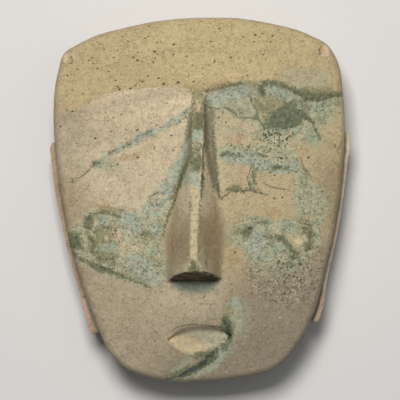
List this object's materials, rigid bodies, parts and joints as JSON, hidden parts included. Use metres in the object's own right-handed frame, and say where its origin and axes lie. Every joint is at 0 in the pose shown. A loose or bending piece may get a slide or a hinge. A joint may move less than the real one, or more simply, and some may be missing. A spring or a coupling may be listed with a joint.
{
  "type": "human effigy mask",
  "caption": "Carved stone face mask with a long wedge nose, a stepped brow, flanged ears and drilled suspension holes.",
  "frame": {"origin": "middle of the mask's box, on the plane that its flat back rim lies on", "axes": "+Z out of the face, +Y from the chin to the forehead, +X to the viewer's right"},
  "size_m": [0.1656, 0.2, 0.074],
  "materials": {
    "stone": "worn matt tan stone with green and blue-green veins and patches"
  },
  "bodies": {
    "root": {"mask": "stone"}
  },
  "joints": []
}
